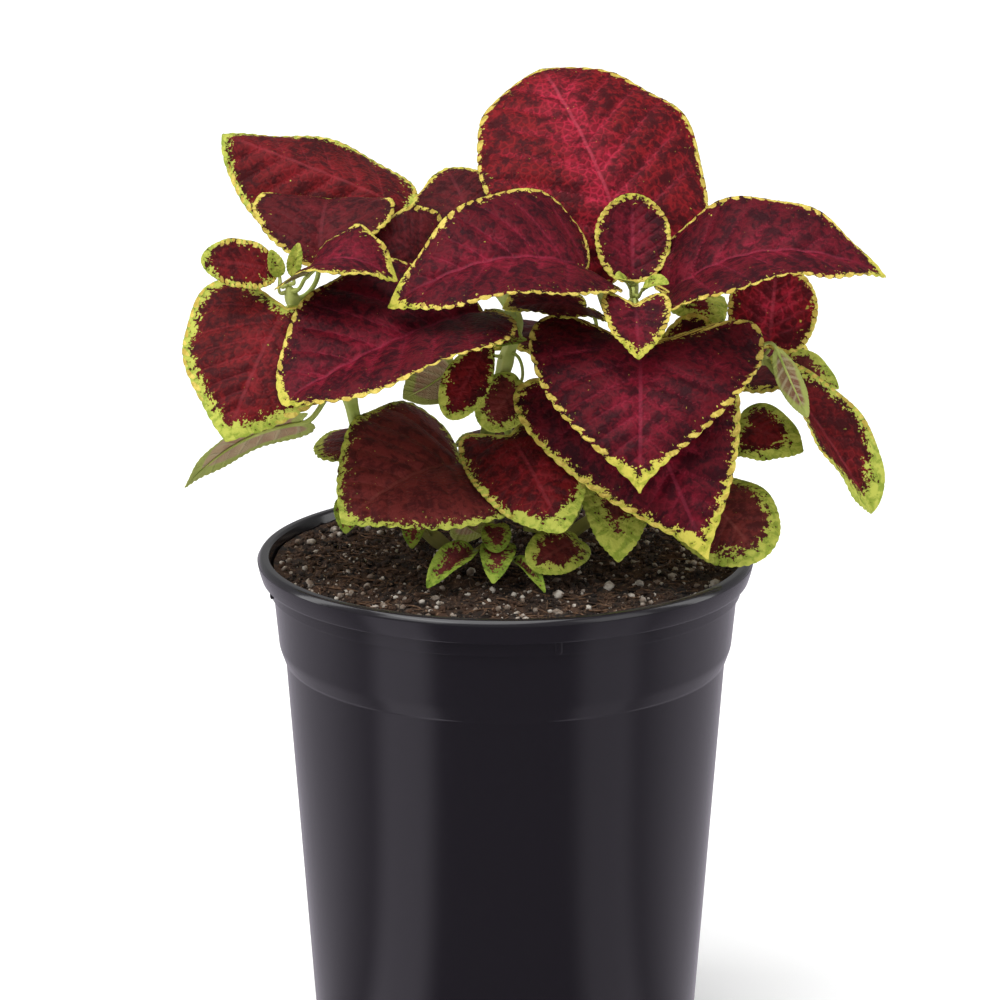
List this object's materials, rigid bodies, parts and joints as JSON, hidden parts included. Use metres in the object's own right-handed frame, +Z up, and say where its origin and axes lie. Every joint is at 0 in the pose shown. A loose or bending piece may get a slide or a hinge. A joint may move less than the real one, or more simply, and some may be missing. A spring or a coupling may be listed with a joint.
{
  "type": "coleus plant in a nursery pot",
  "caption": "Bushy potted coleus with crimson, lime-edged scalloped leaves on square green stems, in a round black plastic nursery pot filled with soil.",
  "frame": {"origin": "centre of the pot's flat base, on the surface it stands on", "axes": "+Z up along the pot's axis, -Y towards the front of the plant, +X to its right"},
  "size_m": [0.2265, 0.165, 0.3279],
  "materials": {
    "pot_plastic": "semi-gloss black moulded plastic",
    "potting_soil": "moist dark peat mix with perlite crumbs",
    "green_stem": "smooth pale green, slightly waxy",
    "crimson_leaf": "crimson leaf with a beaded yellow-green margin, soft satin",
    "young_leaf": "lime leaf with a crimson heart, soft satin",
    "leaf_underside": "olive leaf underside, matt"
  },
  "bodies": {
    "root": {"left_bud_inner": "young_leaf", "left_bud_outer": "young_leaf", "left_leaf_back": "crimson_leaf", "left_leaf_foot_inner": "crimson_leaf", "left_leaf_foot_outer": "crimson_leaf", "left_leaf_front": "crimson_leaf", "left_leaf_inner": "crimson_leaf", "left_leaf_low_back": "crimson_leaf", "left_leaf_low_right": "crimson_leaf", "left_leaf_narrow": "crimson_leaf", "left_leaf_outer": "crimson_leaf", "main_bud_left": "young_leaf", "main_bud_right": "young_leaf", "main_leaf_back": "crimson_leaf", "main_leaf_foot_back": "crimson_leaf", "main_leaf_foot_front": "crimson_leaf", "main_leaf_foot_left": "crimson_leaf", "main_leaf_foot_turned": "leaf_underside", "main_leaf_front": "crimson_leaf", "main_leaf_left": "crimson_leaf", "main_leaf_low_back": "crimson_leaf", "main_leaf_low_front": "crimson_leaf", "main_leaf_low_left": "crimson_leaf", "main_leaf_low_right": "crimson_leaf", "main_leaf_right": "crimson_leaf", "main_leaf_young_back": "crimson_leaf", "main_leaf_young_front": "crimson_leaf", "middle_leaf_back": "crimson_leaf", "middle_leaf_foot": "young_leaf", "middle_leaf_hanging": "crimson_leaf", "middle_leaf_left": "crimson_leaf", "middle_leaf_low_back": "crimson_leaf", "middle_leaf_low_left": "crimson_leaf", "middle_leaf_low_right": "crimson_leaf", "middle_leaf_round": "crimson_leaf", "middle_leaf_small": "young_leaf", "middle_leaf_top_back": "crimson_leaf", "middle_leaf_top_inner": "crimson_leaf", "middle_leaf_top_left": "crimson_leaf", "middle_leaf_top_right": "crimson_leaf", "middle_leaf_turned": "leaf_underside", "pot": "pot_plastic", "right_leaf_back": "crimson_leaf", "right_leaf_front": "crimson_leaf", "right_leaf_hanging": "crimson_leaf", "right_leaf_low_back": "crimson_leaf", "right_leaf_low_front": "crimson_leaf", "right_leaf_narrow": "crimson_leaf", "right_leaf_turned": "leaf_underside", "right_leaf_upright": "crimson_leaf", "soil": "potting_soil", "sprout_leaf_front": "young_leaf", "sprout_leaf_left": "young_leaf", "sprout_leaf_right": "young_leaf", "sprout_leaf_top": "young_leaf", "stem_left": "green_stem", "stem_main": "green_stem", "stem_middle": "green_stem", "stem_right": "green_stem", "stem_sprout": "green_stem"}
  },
  "joints": []
}
